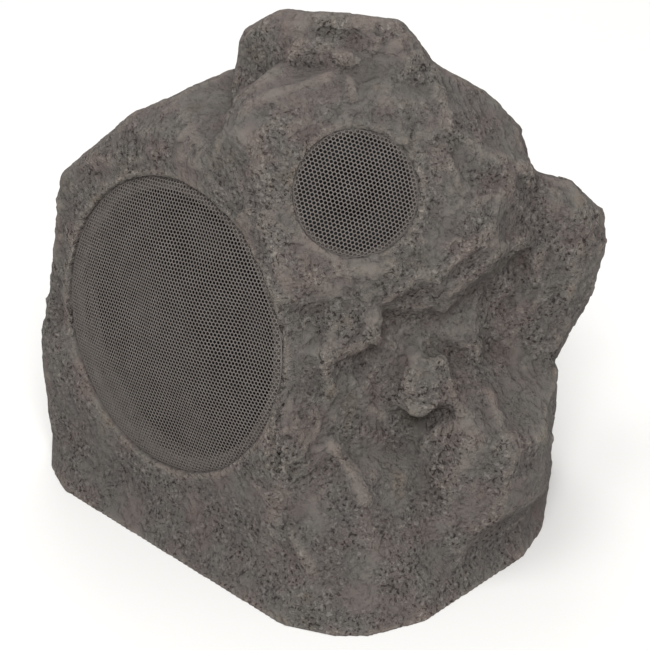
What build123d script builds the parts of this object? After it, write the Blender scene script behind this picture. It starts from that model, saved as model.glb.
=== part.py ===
"""Rock shaped garden speaker: a moulded boulder with a woofer and a tweeter behind round grilles.

Millimetres, +Z up, front towards -Y. The pieces are laid out about a point below the middle of
the rock, and are set down at the end with the middle of their base at the origin.
"""
import os
from math import cos, floor, radians, sin, sqrt, tan

from build123d import *

# Rock housing
WALL = 6.0                  # moulded resin wall
EDGE = 9.0                  # rounding of the rock's edges
SMALL_EDGE = 5.0            # rounding of its smaller lumps
OVERHANG = 40.0             # rock cleared away in front of each grille
FIT = 0.4                   # gap round a piece that drops into its seat
GLUE = 0.1                  # bond line between glued pieces

# Each lump of the rock has a centre and its facets, as azimuth, elevation and distance from the
# centre. Azimuth 0 faces the front and 90 the right-hand side.
WOOFER_AT = (-98, -15, 139)
WOOFER_AIM = (-25, 11)
TWEETER_AT = (19.5, 0, 243)
TWEETER_AIM = (28, 27)

# Base
BASE_RECESS = 20.0          # from the ground up to the base plate
BASE_PLATE = 5.0
BASE_GASKET = 2.0
BASE_LEDGE = 10.0           # thickness of the ledge that the plate is screwed up against
BASE_LEDGE_WIDTH = 15.0
BASE_SCREW_AZIMUTHS = (-55, -15, 25, 62, 100, 150, -165, -115)
BASE_CENTRE = (-20, 25, 0)
CABLE_AT = (-30, 112)       # cable entry in the base plate
CABLE_D = 7.0
GROMMET_WALL = 3.0
GROMMET_LIP = 2.0
NOTCH_WIDTH = 16.0          # way out for the cable under the rear rim
NOTCH_HEIGHT = 13.0

# Screws
SCREW_D = 4.0
SCREW_HEAD_D = 7.4
SCREW_HEAD = 2.6
SMALL_SCREW_D = 2.6
SMALL_SCREW_HEAD_D = 4.8
SMALL_SCREW_HEAD = 1.7
SCREW_GRIP = 8.0            # length of thread in the piece below
SCREW_PLAY = 0.15           # gap round a shank
SCREW_CROWN = 0.45          # share of a head's height that is rounded

# Woofer, measured along its own axis from the face of the rock
WOOFER_GRILLE_D = 188.0
WOOFER_SEAT = 5.0           # depth of the grille's seat
WOOFER_SEAT_WIDTH = 9.0     # step from the grille's rim in to the driver's flange
WOOFER_LEDGE = 24.0         # depth of the driver's ledge
LEDGE_THICK = 10.0
WOOFER_HEM = 6.5            # width of the grille's flat rim
WOOFER_HEM_THICK = 2.4
WOOFER_RISE = 12.0          # height of the grille's dome
WOOFER_VENT = 9.6           # openings of the grille
WOOFER_VENT_PITCH = 14.6
GRILLE_SHEET = 1.0
WOOFER_GASKET = 2.0
FLANGE_D = WOOFER_GRILLE_D - 2 * WOOFER_SEAT_WIDTH
FLANGE = 4.0
FLANGE_WIDTH = 15.0         # from the flange's edge in to the basket's mouth
WOOFER_SCREW_EDGE = 4.5     # from the flange's edge to the middle of a screw
WOOFER_SCREW_CIRCLE = FLANGE_D - 2 * WOOFER_SCREW_EDGE
WOOFER_SCREWS = 6
BASKET_DEPTH = 44.0
BASKET_SHEET = 2.0
BASKET_MOUTH_D = FLANGE_D - 2 * FLANGE_WIDTH
BASKET_WINDOWS = 6
BASKET_WINDOW_WIDTH = 36.0
SHELF_DROP = 34.0           # from the flange down to the spider's shelf
SHELF_D = 92.0
SHELF_WIDTH = 7.0
TOP_PLATE = 6.0
MAGNET_D = 90.0
MAGNET = 20.0
MAGNET_BORE_D = 44.0
BACK_PLATE = 6.0
POLE_VENT_D = 10.0
COIL_D = 25.4               # inside of the voice coil
COIL_FORMER = 0.4
COIL_WINDING = 0.7
COIL_HEIGHT = 12.0
COIL_GAP = 0.6              # running gap on each side of the coil
ROLL_WIDTH = 14.0           # surround, between the basket's mouth and the cone
CONE_LIP_D = BASKET_MOUTH_D - 2 * ROLL_WIDTH
CONE_LIP = 4.0
CONE_DEPTH = 28.0
CONE_SKIN = 1.2
CONE_COLLAR = 3.0
DUST_CAP_D = 44.0
DUST_CAP_RISE = 9.0
DUST_CAP_SKIN = 0.8
SURROUND_SKIN = 0.8
SURROUND_RING = 2.2
SPIDER_SKIN = 0.6
SPIDER_WAVES = 5
SPIDER_SWELL = 1.2
TERMINAL = (20.0, 7.0, 2.0)
TAG = (3.0, 8.0, 0.8)

# Tweeter, measured along its own axis from the face of the rock
TWEETER_GRILLE_D = 75.0
TWEETER_SEAT = 4.0
TWEETER_SEAT_WIDTH = 4.0
TWEETER_LEDGE = 13.0
TWEETER_HEM = 3.2
TWEETER_HEM_THICK = 2.0
TWEETER_RISE = 5.0
TWEETER_VENT = 6.0
TWEETER_VENT_PITCH = 9.4
TWEETER_GASKET = 1.0
FACEPLATE_D = TWEETER_GRILLE_D - 2 * TWEETER_SEAT_WIDTH
FACEPLATE = 4.0
TWEETER_SCREW_EDGE = 3.0
TWEETER_SCREW_CIRCLE = FACEPLATE_D - 2 * TWEETER_SCREW_EDGE
TWEETER_SCREWS = 4
DOME_D = 25.4
DOME_RISE = 6.0
DOME_SKIN = 0.4
DOME_ROLL = 3.3
DOME_LAND = 3.0
HORN_THROAT_D = DOME_D + 2 * (DOME_ROLL + FIT)
HORN_FLARE = 5.5            # from the horn's throat out to its mouth
HORN_D = HORN_THROAT_D + 2 * HORN_FLARE
TWEETER_COIL_HEIGHT = 5.0
TWEETER_TOP_PLATE = 4.0
TWEETER_MAGNET_EDGE = 3.5   # from the middle of a screw in to the magnet
TWEETER_MAGNET_D = TWEETER_SCREW_CIRCLE - 2 * TWEETER_MAGNET_EDGE
TWEETER_MAGNET_BORE_D = 32.0
TWEETER_MAGNET = 10.0
TWEETER_BACK_PLATE = 4.0

# Crossover, on the base plate
BOARD = (120.0, 78.0, 1.6)
BOARD_AT = (18, 56)
BOARD_INSET = 6.0           # screw holes from the board's edges
STANDOFF_D = 8.0
STANDOFF = 8.0
BOBBIN_D = 44.0
BOBBIN_CORE_D = 20.0
BOBBIN_BORE_D = 12.0
BOBBIN = 20.0
BOBBIN_FLANGE = 2.0
WINDING_D = 38.0
PART_GAP = 2.0              # between the bobbin and the pieces beside it
CAPACITOR_D = 18.0
CAPACITOR = 34.0
CAPACITOR_ROUND = 1.5       # rounding of a capacitor's ends
SMALL_CAPACITOR_D = 13.0
SMALL_CAPACITOR = 26.0
RESISTOR = (25.0, 9.0, 9.0)
BLOCK = (10.0, 40.0, 12.0)
BLOCK_WAYS = 4
BLOCK_WAY_D = 5.0
LEAD_D = 4.0
LEAD_BEND = 0.45            # share of a straight run that each of its bends takes up


def facing(azimuth, elevation):
    """Unit vector of a direction: azimuth 0 is the front, 90 the right-hand side."""
    turn, lift = radians(azimuth), radians(elevation)
    return Vector(sin(turn) * cos(lift), -cos(turn) * cos(lift), sin(lift))


def reach(spot, centre, aim):
    """Distance from a lump's centre to the facet that faces aim and runs through spot."""
    return (Vector(*spot) - Vector(*centre)).dot(facing(*aim))


BODY_CENTRE = (-20, 25, 150)
TOWER_CENTRE = (20, 50, 200)
TWEETER_STEP = 3.0          # the body stays this far behind the tweeter's face

# Main mass, with the woofer's face in front
BODY = (BODY_CENTRE, [
    (*WOOFER_AIM, reach(WOOFER_AT, BODY_CENTRE, WOOFER_AIM)),
    (*TWEETER_AIM, reach(TWEETER_AT, BODY_CENTRE, TWEETER_AIM) - TWEETER_STEP),
    (-66, -2, 173), (-78, 20, 183), (-97, 46, 158), (-115, 59, 148), (-40, 52, 119),
    (-125, 0, 159), (172, 6, 120), (140, 8, 150), (97, -3, 160), (72, 8, 98), (40, 13, 61),
    (20, 80, 106), (95, 40, 116), (-32, 30, 96), (-150, 20, 173), (-140, 45, 167), (170, 45, 157),
    (0, -90, 135)])
# Upper right mass, with the tweeter's face in front and a ledge below it
TOWER = (TOWER_CENTRE, [
    (*WOOFER_AIM, reach(WOOFER_AT, TOWER_CENTRE, WOOFER_AIM)),
    (*TWEETER_AIM, reach(TWEETER_AT, TOWER_CENTRE, TWEETER_AIM)),
    (142, 55, 99), (126, 42, 100), (111, 20, 98), (75, 45, 84), (70, 10, 80), (-50, 45, 118),
    (180, 15, 80), (-90, 20, 105), (-100, 45, 112), (10, 70, 95), (28, -30, 64), (62, -28, 70),
    (20, 48, 81.5), (48, 34, 70), (45, 58, 87), (-20, 52, 106), (28, 0, 66), (50, -10, 71),
    (160, 40, 95), (150, 15, 109), (0, -90, 90)])
# Flat-topped knob on the crown
KNOB = ((0, 70, 290), [
    (-90, 40, 71), (-103, 54, 54), (-176, 68, 31), (123, 37, 36), (10, 22, 29), (-30, 25, 45),
    (60, 25, 45), (180, 20, 46), (100, 10, 60), (-80, 5, 75), (5, 48, 38), (-40, 50, 48),
    (35, 30, 38), (150, 45, 38), (0, -90, 50)])
# Shoulder behind on the right
LOBE = ((105, 110, 140), [
    (166, 61, 68), (127, 42, 62), (107, 16, 53), (86, -22, 37), (93, -11, 38), (165, 0, 40),
    (30, 10, 50), (60, 5, 48), (-150, 10, 58), (-90, 0, 80), (45, 30, 69), (130, 20, 55),
    (0, -90, 100)])
# Flared foot all round
SKIRT = (BASE_CENTRE, [
    (-25, 33, 90), (-66, 7, 169), (-48, 20, 138), (0, 32, 111), (18, 38, 113), (40, 36, 119),
    (62, 33, 120), (80, 25, 138), (97, 14, 152), (145, 14, 152), (180, 12, 128),
    (-130, 14, 150), (20, 60, 108), (50, 58, 112), (0, 90, 85), (0, -90, 30)])
# Chunk that juts out low on the right
NOSE = ((108, 8, 74), [
    (64, 3, 22), (55, 52, 22), (95, 0, 31), (25, 16, 22), (-15, 28, 32), (60, -40, 38),
    (-90, 0, 50), (180, 0, 60)])
# Small swell on the left edge
BUMP = ((-165, 48, 114), [
    (-72, 0, 42), (-72, 60, 28), (-72, -60, 28), (-25, 11, 25), (-120, 5, 48), (0, 90, 22),
    (0, -90, 24), (180, 0, 45), (90, 0, 30)])
# Low bulge across the rear
REAR = ((-70, 100, 130), [
    (180, 0, 56), (-140, 5, 62), (140, 5, 68), (180, 50, 62), (180, -45, 74), (-95, 10, 86),
    (95, 0, 78), (180, 25, 60), (160, 10, 65), (-160, 10, 62), (0, 0, 40)])
# Two blocks that stand out of the rough front, below the tweeter's ledge
CHUNK = ((62, 8, 118), [
    (30, 24, 15), (-35, 18, 18), (105, 18, 18), (40, 66, 22), (40, -60, 20), (180, 0, 40)])
KNEE = ((20, -10, 160), [
    (30, 14, 16), (-45, 10, 22), (105, 6, 18), (40, -50, 18), (0, 75, 36), (180, 0, 40)])
MASSES = (BODY, TOWER, KNOB, LOBE, REAR)
SMALL_LUMPS = (NOSE, BUMP, CHUNK, KNEE)
BLANK = 800.0               # block that each lump is cut from

# Levels of the base
PLATE_TOP = BASE_RECESS + BASE_PLATE
LEDGE_BOTTOM = PLATE_TOP + BASE_GASKET
LEDGE_TOP = LEDGE_BOTTOM + BASE_LEDGE

# Levels and radii of the woofer
W_LEDGE = -WOOFER_LEDGE
W_FLANGE_BACK = W_LEDGE + WOOFER_GASKET
W_FLANGE = W_FLANGE_BACK + FLANGE
W_SHELF = W_FLANGE - SHELF_DROP
W_PLATE = W_FLANGE - BASKET_DEPTH
W_MAGNET = W_PLATE - TOP_PLATE
W_BACK = W_MAGNET - MAGNET
W_END = W_BACK - BACK_PLATE
BASKET_R = BASKET_MOUTH_D / 2 + BASKET_SHEET
FORMER_R = COIL_D / 2 + COIL_FORMER
WINDING_R = FORMER_R + COIL_WINDING
NECK_R = FORMER_R + GLUE
CONE_R = CONE_LIP_D / 2 - CONE_LIP
CONE_NECK = W_FLANGE - CONE_DEPTH

# Levels and radii of the tweeter
T_LEDGE = -TWEETER_LEDGE
T_FACE_BACK = T_LEDGE + TWEETER_GASKET
T_FACE = T_FACE_BACK + FACEPLATE
T_TOP_PLATE = T_FACE_BACK - DOME_SKIN
T_MAGNET = T_TOP_PLATE - TWEETER_TOP_PLATE
T_BACK = T_MAGNET - TWEETER_MAGNET
T_END = T_BACK - TWEETER_BACK_PLATE
DOME_LAND_R = DOME_D / 2 + DOME_ROLL

# Levels and places of the crossover
BOARD_BOTTOM = PLATE_TOP + STANDOFF
BOARD_TOP = BOARD_BOTTOM + BOARD[2]
BOARD_CENTRE = Pos(*BOARD_AT, BOARD_TOP)
BOARD_HOLES = GridLocations(BOARD[0] - 2 * BOARD_INSET, BOARD[1] - 2 * BOARD_INSET, 2, 2)


def axis_frame(spot, aim):
    """Frame of a driver: origin on the rock's face, Z out along its axis, X level."""
    return Plane(origin=spot, x_dir=facing(aim[0] + 90, 0), z_dir=facing(*aim))


WOOFER = axis_frame(WOOFER_AT, WOOFER_AIM)
TWEETER = axis_frame(TWEETER_AT, TWEETER_AIM)


def turned(*outline):
    """Solid of revolution about Z from an outline of (radius, height) points."""
    return revolve(make_face(Polyline(*[(r, 0, z) for r, z in outline], close=True)), Axis.Z)


def ring(outer, inner, bottom, top):
    """Plain ring between two radii and two heights."""
    return turned((outer, bottom), (outer, top), (inner, top), (inner, bottom))


def rod(radius, bottom, top):
    """Plain cylinder between two heights."""
    return Pos(0, 0, (bottom + top) / 2) * Cylinder(radius, top - bottom)


def dome(radius, rise, skin):
    """Spherical cap that stands on local zero, with an even skin."""
    ball = (radius ** 2 + rise ** 2) / (2 * rise)
    cap = Sphere(ball) - Sphere(ball - skin)
    return split(Pos(0, 0, rise - ball) * cap, bisect_by=Plane.XY, keep=Keep.TOP)


def slab(bottom, top):
    """Level layer, wide enough for the whole rock."""
    return Pos(0, 0, (bottom + top) / 2) * Box(BLANK, BLANK, top - bottom)


def lump(centre, facets, inset=0.0, edge=0.0):
    """Convex boulder: what lies behind all its facets, with its edges rounded."""
    rock = Pos(*centre) * Box(BLANK, BLANK, BLANK)
    for azimuth, elevation, distance in facets:
        normal = facing(azimuth, elevation)
        face = Plane(Vector(*centre) + normal * (distance - inset - edge), z_dir=normal)
        rock = split(rock, bisect_by=face, keep=Keep.BOTTOM)
    return offset(rock, edge, kind=Kind.ARC) if edge else rock


def skirt_reach(azimuth, inset, height):
    """Level distance from the skirt's centre to its wall, set in by inset."""
    ways = []
    for facet_azimuth, elevation, distance in SKIRT[1]:
        lean = cos(radians(elevation)) * cos(radians(azimuth - facet_azimuth))
        if lean > 0.05:
            ways.append((distance - inset - height * sin(radians(elevation))) / lean)
    return min(ways)


def base_screw_places():
    """Places of the base screws, in the middle of the ledge."""
    inset = WALL + BASE_LEDGE_WIDTH / 2
    places = []
    for azimuth in BASE_SCREW_AZIMUTHS:
        out = facing(azimuth, 0) * skirt_reach(azimuth, inset, LEDGE_BOTTOM)
        places.append(Pos(BASE_CENTRE[0] + out.X, BASE_CENTRE[1] + out.Y))
    return places


def screw(diameter, head_d, head, length):
    """Pan-head screw: head above local zero, shank below."""
    cap = fillet(rod(head_d / 2, 0, head).edges().group_by(Axis.Z)[-1], head * SCREW_CROWN)
    return cap + rod(diameter / 2, -length, 0)


def shank_hole(diameter, depth):
    """Hole for a screw shank, downwards from local zero."""
    return rod(diameter / 2 + SCREW_PLAY, -depth, 0)


def driver_well(grille_d, seat, well_d, ledge, cutout_d):
    """Stepped recess for a grille and a driver, cut in from the face of the rock."""
    back = ledge - LEDGE_THICK - EDGE
    return turned(
        (0, OVERHANG), (grille_d / 2 + FIT, OVERHANG), (grille_d / 2 + FIT, -seat),
        (well_d / 2 + FIT, -seat), (well_d / 2 + FIT, ledge), (cutout_d / 2 + FIT, ledge),
        (cutout_d / 2 + FIT, back), (0, back))


WOOFER_SCREW_PLACES = PolarLocations(WOOFER_SCREW_CIRCLE / 2, WOOFER_SCREWS)
TWEETER_SCREW_PLACES = PolarLocations(TWEETER_SCREW_CIRCLE / 2, TWEETER_SCREWS, 45)
PLATE_STACK = BASE_PLATE + BASE_GASKET


def make_rock_shell():
    """Hollow boulder, open below, with a driver well in each speaker face and a base ledge."""
    rock = lump(*SKIRT, edge=EDGE)
    cavity = lump(*SKIRT, inset=WALL)
    above_ledge = Plane.XY.offset(LEDGE_TOP)
    for shapes, edge in ((MASSES, EDGE), (SMALL_LUMPS, SMALL_EDGE)):
        for shape in shapes:
            rock += lump(*shape, edge=edge)
            cavity += split(lump(*shape, inset=WALL), bisect_by=above_ledge, keep=Keep.TOP)
    rock = split(rock, bisect_by=Plane.XY, keep=Keep.TOP)
    woofer_boss = WOOFER * rod(WOOFER_GRILLE_D / 2 + FIT + WALL, W_LEDGE - LEDGE_THICK, 0)
    tweeter_boss = TWEETER * rod(TWEETER_GRILLE_D / 2 + FIT + WALL, T_LEDGE - LEDGE_THICK, 0)
    ledge = (lump(*SKIRT, inset=WALL / 2) - lump(*SKIRT, inset=WALL + BASE_LEDGE_WIDTH)) & slab(
        LEDGE_BOTTOM, LEDGE_TOP)
    shell = rock - cavity + (rock & woofer_boss) + (rock & tweeter_boss) + ledge
    shell -= WOOFER * driver_well(WOOFER_GRILLE_D, WOOFER_SEAT, FLANGE_D, W_LEDGE, 2 * BASKET_R)
    shell -= TWEETER * driver_well(
        TWEETER_GRILLE_D, TWEETER_SEAT, FACEPLATE_D, T_LEDGE, TWEETER_MAGNET_D)
    shell -= [WOOFER * Pos(0, 0, W_LEDGE) * place * shank_hole(SCREW_D, SCREW_GRIP)
              for place in WOOFER_SCREW_PLACES]
    shell -= [TWEETER * Pos(0, 0, T_LEDGE) * place * shank_hole(SMALL_SCREW_D, SCREW_GRIP)
              for place in TWEETER_SCREW_PLACES]
    shell -= [place * Pos(0, 0, LEDGE_BOTTOM + SCREW_GRIP) * shank_hole(SCREW_D, SCREW_GRIP)
              for place in base_screw_places()]
    rear = BASE_CENTRE[1] + skirt_reach(180, 0, 0)
    notch = Box(NOTCH_WIDTH, 6 * WALL, 2 * NOTCH_HEIGHT)
    return shell - Pos(CABLE_AT[0], rear, 0) * notch


def make_base_plate():
    """Plate that closes the rock from below, with holes for its screws and the cable grommet."""
    plate = lump(*SKIRT, inset=WALL + FIT) & slab(BASE_RECESS, PLATE_TOP)
    plate -= [place * Pos(0, 0, PLATE_TOP) * shank_hole(SCREW_D, BASE_PLATE)
              for place in base_screw_places()]
    plate -= [Pos(*BOARD_AT, PLATE_TOP) * place * shank_hole(SMALL_SCREW_D, BASE_PLATE)
              for place in BOARD_HOLES]
    return plate - Pos(*CABLE_AT) * rod(CABLE_D / 2 + GROMMET_WALL, BASE_RECESS, PLATE_TOP)


def make_base_gasket():
    """Flat rubber seal between the base plate and the ledge."""
    seal = lump(*SKIRT, inset=WALL + FIT) - lump(*SKIRT, inset=WALL + BASE_LEDGE_WIDTH)
    seal &= slab(PLATE_TOP, LEDGE_BOTTOM)
    return seal - [place * Pos(0, 0, LEDGE_BOTTOM) * shank_hole(SCREW_D, BASE_GASKET)
                   for place in base_screw_places()]


def make_base_screws():
    """Screws that hold the base plate up against the ledge."""
    fixing = Rot(180, 0, 0) * screw(SCREW_D, SCREW_HEAD_D, SCREW_HEAD, PLATE_STACK + SCREW_GRIP)
    return [place * Pos(0, 0, BASE_RECESS) * fixing for place in base_screw_places()]


def make_cable_grommet():
    """Rubber grommet with a lip on each side of the base plate."""
    hole, body = CABLE_D / 2, CABLE_D / 2 + GROMMET_WALL
    lip = body + GROMMET_WALL
    return Pos(*CABLE_AT) * turned(
        (hole, BASE_RECESS - GROMMET_LIP), (lip, BASE_RECESS - GROMMET_LIP), (lip, BASE_RECESS),
        (body, BASE_RECESS), (body, PLATE_TOP), (lip, PLATE_TOP),
        (lip, PLATE_TOP + GROMMET_LIP), (hole, PLATE_TOP + GROMMET_LIP))


def grille(diameter, hem, hem_thick, rise, vent, pitch):
    """Domed sheet with a flat rim, pierced by a staggered pattern of round openings."""
    foot = diameter / 2 - hem
    sheet = dome(foot, rise, GRILLE_SHEET) + ring(diameter / 2, foot - hem / 2, -hem_thick, 0)
    rows = floor(2 * foot / pitch)
    vents = []
    for row in range(-rows, rows + 1):
        for step in range(-rows, rows + 1):
            spot = Vector(pitch * (step + row / 2), pitch * row * sqrt(3) / 2)
            if spot.length < foot - vent:
                vents.append(Pos(spot) * rod(vent / 2, -hem_thick, 2 * rise))
    return sheet - vents


def make_woofer_grille():
    """Domed perforated cover of the woofer. Each opening stands for a patch of fine holes."""
    cover = grille(WOOFER_GRILLE_D, WOOFER_HEM, WOOFER_HEM_THICK, WOOFER_RISE, WOOFER_VENT,
                   WOOFER_VENT_PITCH)
    return WOOFER * Pos(0, 0, WOOFER_HEM_THICK - WOOFER_SEAT) * cover


def make_tweeter_grille():
    """Domed perforated cover of the tweeter."""
    cover = grille(TWEETER_GRILLE_D, TWEETER_HEM, TWEETER_HEM_THICK, TWEETER_RISE, TWEETER_VENT,
                   TWEETER_VENT_PITCH)
    return TWEETER * Pos(0, 0, TWEETER_HEM_THICK - TWEETER_SEAT) * cover


def make_woofer_gasket():
    """Foam seal between the driver's flange and its ledge."""
    seal = ring(FLANGE_D / 2, BASKET_R + FIT, W_LEDGE, W_FLANGE_BACK)
    seal -= [Pos(0, 0, W_FLANGE_BACK) * place * shank_hole(SCREW_D, WOOFER_GASKET)
             for place in WOOFER_SCREW_PLACES]
    return WOOFER * seal


def make_woofer_basket():
    """Pressed steel frame: screw flange, windowed cone, spider shelf and rear plate."""
    mouth, shelf = BASKET_MOUTH_D / 2, SHELF_D / 2
    cup = shelf - SHELF_WIDTH
    hub = WINDING_R + COIL_GAP + BASKET_SHEET
    frame = turned(
        (FLANGE_D / 2, W_FLANGE), (mouth, W_FLANGE), (shelf, W_SHELF), (cup, W_SHELF),
        (cup, W_PLATE + BASKET_SHEET), (hub, W_PLATE + BASKET_SHEET), (hub, W_PLATE),
        (cup + BASKET_SHEET, W_PLATE), (cup + BASKET_SHEET, W_SHELF - BASKET_SHEET),
        (shelf + BASKET_SHEET, W_SHELF - BASKET_SHEET), (BASKET_R, W_FLANGE_BACK),
        (FLANGE_D / 2, W_FLANGE_BACK))
    sill, head = W_SHELF + 2 * BASKET_SHEET, W_FLANGE_BACK - 2 * BASKET_SHEET
    window = Box(mouth, BASKET_WINDOW_WIDTH, head - sill)
    middle = (shelf + mouth) / 2
    frame -= [place * Pos(0, 0, (sill + head) / 2) * window
              for place in PolarLocations(middle, BASKET_WINDOWS)]
    frame -= [Pos(0, 0, W_FLANGE) * place * shank_hole(SCREW_D, FLANGE)
              for place in WOOFER_SCREW_PLACES]
    return WOOFER * frame


def make_woofer_screws():
    """Screws through the driver's flange into the ledge."""
    fixing = screw(SCREW_D, SCREW_HEAD_D, SCREW_HEAD, FLANGE + WOOFER_GASKET + SCREW_GRIP)
    return [WOOFER * Pos(0, 0, W_FLANGE) * place * fixing for place in WOOFER_SCREW_PLACES]


def make_top_plate():
    """Steel front plate of the woofer's magnet, bored for the voice coil."""
    return WOOFER * ring(MAGNET_D / 2, WINDING_R + COIL_GAP, W_MAGNET, W_PLATE)


def make_woofer_magnet():
    """Ferrite ring magnet."""
    return WOOFER * ring(MAGNET_D / 2, MAGNET_BORE_D / 2, W_BACK, W_MAGNET)


def make_pole_piece():
    """Steel back plate with the vented pole that stands inside the voice coil."""
    pole, vent = COIL_D / 2 - COIL_GAP, POLE_VENT_D / 2
    return WOOFER * turned(
        (vent, W_END), (MAGNET_D / 2, W_END), (MAGNET_D / 2, W_BACK), (pole, W_BACK),
        (pole, W_PLATE), (vent, W_PLATE))


def make_voice_coil():
    """Coil former with its winding, centred in the magnet's gap."""
    middle = (W_PLATE + W_MAGNET) / 2
    low, high = middle - COIL_HEIGHT / 2, middle + COIL_HEIGHT / 2
    top = CONE_NECK + CONE_COLLAR / 2
    return WOOFER * turned(
        (COIL_D / 2, low), (WINDING_R, low), (WINDING_R, high), (FORMER_R, high),
        (FORMER_R, top), (COIL_D / 2, top))


def cone_height(radius):
    """Height of the cone's front face at a radius."""
    return CONE_NECK + (radius - NECK_R) * CONE_DEPTH / (CONE_R - NECK_R)


def make_cone():
    """Moulded cone with a flat lip outside and a collar round the voice coil."""
    return WOOFER * turned(
        (CONE_LIP_D / 2, W_FLANGE), (CONE_R, W_FLANGE), (NECK_R, CONE_NECK),
        (NECK_R, CONE_NECK - CONE_COLLAR), (NECK_R + CONE_SKIN, CONE_NECK - CONE_COLLAR),
        (NECK_R + CONE_SKIN, cone_height(NECK_R + CONE_SKIN) - CONE_SKIN),
        (CONE_R, W_FLANGE - CONE_SKIN), (CONE_LIP_D / 2, W_FLANGE - CONE_SKIN))


def make_dust_cap():
    """Domed cap over the middle of the cone."""
    edge = DUST_CAP_D / 2
    cap = dome(edge, DUST_CAP_RISE, DUST_CAP_SKIN)
    return WOOFER * Pos(0, 0, cone_height(edge) + GLUE) * cap


def make_surround():
    """Rubber half roll between the cone's lip and the flange."""
    outer, inner = BASKET_MOUTH_D / 2, CONE_LIP_D / 2
    land = (WOOFER_SCREW_CIRCLE - SCREW_HEAD_D) / 2 - FIT
    middle, swell = (outer + inner) / 2, (outer - inner) / 2
    low, high = W_FLANGE, W_FLANGE + SURROUND_SKIN
    roll = make_face([
        Polyline((inner + SURROUND_SKIN, 0, low), (CONE_R, 0, low), (CONE_R, 0, high),
                 (inner, 0, high)),
        ThreePointArc((inner, 0, high), (middle, 0, high + swell), (outer, 0, high)),
        Polyline((outer, 0, high), (land, 0, high), (land, 0, low),
                 (outer - SURROUND_SKIN, 0, low)),
        ThreePointArc((outer - SURROUND_SKIN, 0, low), (middle, 0, low + swell),
                      (inner + SURROUND_SKIN, 0, low))])
    return WOOFER * revolve(roll, Axis.Z)


def make_surround_ring():
    """Clamping ring on the surround's outer edge."""
    land = (WOOFER_SCREW_CIRCLE - SCREW_HEAD_D) / 2 - FIT
    low = W_FLANGE + SURROUND_SKIN
    return WOOFER * ring(land, BASKET_MOUTH_D / 2 + SURROUND_SKIN, low, low + SURROUND_RING)


def make_spider():
    """Corrugated fabric disc that centres the voice coil."""
    inner, outer = NECK_R, SHELF_D / 2 - SHELF_WIDTH
    start = inner + SHELF_WIDTH / 2
    wave = (outer - start) / SPIDER_WAVES
    low, high = W_SHELF, W_SHELF + SPIDER_SKIN
    crests = []
    for number in range(SPIDER_WAVES):
        swell = SPIDER_SWELL if number % 2 == 0 else -SPIDER_SWELL
        left, right = start + number * wave, start + (number + 1) * wave
        for level in (low, high):
            crests.append(ThreePointArc(
                (left, 0, level), ((left + right) / 2, 0, level + swell), (right, 0, level)))
    land = SHELF_D / 2 - FIT
    ends = [Polyline((start, 0, low), (inner, 0, low), (inner, 0, high), (start, 0, high)),
            Polyline((outer, 0, low), (land, 0, low), (land, 0, high), (outer, 0, high))]
    return WOOFER * revolve(make_face(crests + ends), Axis.Z)


def make_woofer_terminal():
    """Tag strip on the side of the basket, with two solder tags."""
    width, height, thick = TERMINAL
    cup = SHELF_D / 2 - SHELF_WIDTH + BASKET_SHEET
    level = W_PLATE + height / 2
    strip = Pos(0, -cup - thick / 2, level) * Box(width, thick, height)
    for side in (-1, 1):
        tag = Box(TAG[0], TAG[1], TAG[2])
        strip += Pos(side * width / 4, -cup - thick - TAG[1] / 2, level) * tag
    return WOOFER * strip


def make_tweeter_gasket():
    """Foam seal behind the tweeter's faceplate."""
    seal = ring(FACEPLATE_D / 2, TWEETER_MAGNET_D / 2 + FIT, T_LEDGE, T_FACE_BACK)
    seal -= [Pos(0, 0, T_FACE_BACK) * place * shank_hole(SMALL_SCREW_D, TWEETER_GASKET)
             for place in TWEETER_SCREW_PLACES]
    return TWEETER * seal


def make_tweeter_faceplate():
    """Round faceplate with a short horn around the dome."""
    throat = T_FACE_BACK + FACEPLATE / 4
    plate = turned(
        (HORN_THROAT_D / 2, T_FACE_BACK), (FACEPLATE_D / 2, T_FACE_BACK), (FACEPLATE_D / 2, T_FACE),
        (HORN_D / 2, T_FACE), (HORN_THROAT_D / 2, throat))
    plate -= [Pos(0, 0, T_FACE) * place * shank_hole(SMALL_SCREW_D, FACEPLATE)
              for place in TWEETER_SCREW_PLACES]
    return TWEETER * plate


def make_tweeter_screws():
    """Screws through the faceplate into the ledge."""
    fixing = screw(SMALL_SCREW_D, SMALL_SCREW_HEAD_D, SMALL_SCREW_HEAD,
                   FACEPLATE + TWEETER_GASKET + SCREW_GRIP)
    return [TWEETER * Pos(0, 0, T_FACE) * place * fixing for place in TWEETER_SCREW_PLACES]


def make_tweeter_dome():
    """Silk dome, moulded in one with its roll and the land that the faceplate clamps."""
    edge, land = DOME_D / 2, DOME_LAND_R + DOME_LAND
    inner = edge - COIL_FORMER
    low, high = T_TOP_PLATE, T_FACE_BACK
    middle, swell = edge + DOME_ROLL / 2, DOME_ROLL / 3
    roll = make_face([
        Polyline((edge, 0, low), (inner, 0, low), (inner, 0, high), (edge, 0, high)),
        ThreePointArc((edge, 0, high), (middle, 0, high + swell), (DOME_LAND_R, 0, high)),
        Polyline((DOME_LAND_R, 0, high), (land, 0, high), (land, 0, low), (DOME_LAND_R, 0, low)),
        ThreePointArc((DOME_LAND_R, 0, low), (middle, 0, low + swell), (edge, 0, low))])
    cap = Pos(0, 0, high) * dome(edge, DOME_RISE, DOME_SKIN)
    return TWEETER * (revolve(roll, Axis.Z) + cap)


def make_tweeter_coil():
    """Voice coil that hangs from the edge of the dome."""
    outer = DOME_D / 2 + COIL_WINDING
    return TWEETER * ring(outer, DOME_D / 2 - COIL_FORMER, T_TOP_PLATE - TWEETER_COIL_HEIGHT,
                          T_TOP_PLATE)


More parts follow.
